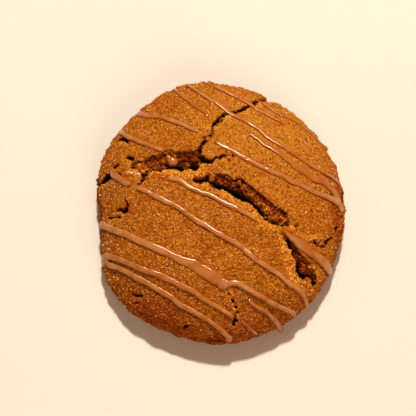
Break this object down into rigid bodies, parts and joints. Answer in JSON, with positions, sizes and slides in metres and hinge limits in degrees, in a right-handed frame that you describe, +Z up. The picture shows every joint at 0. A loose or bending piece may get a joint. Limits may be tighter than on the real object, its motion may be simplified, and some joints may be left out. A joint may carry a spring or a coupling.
{
  "type": "churro cookie",
  "caption": "Thick soft-baked round cookie with a domed, deeply cracked, cinnamon-sugared crust and thin lines of caramel glaze, flat underneath.",
  "frame": {"origin": "middle of the cookie's bounding box in plan, on the plane of its flat underside", "axes": "+Z up out of the domed top, +Y away from the viewer across the cookie's slightly longer width, +X to the viewer's right"},
  "size_m": [0.0916, 0.0982, 0.0303],
  "materials": {
    "crust": "matte, porous, sugared",
    "glaze": "satin gloss",
    "sugar": "crystalline"
  },
  "bodies": {
    "root": {"cookie": "crust"}
  },
  "joints": []
}
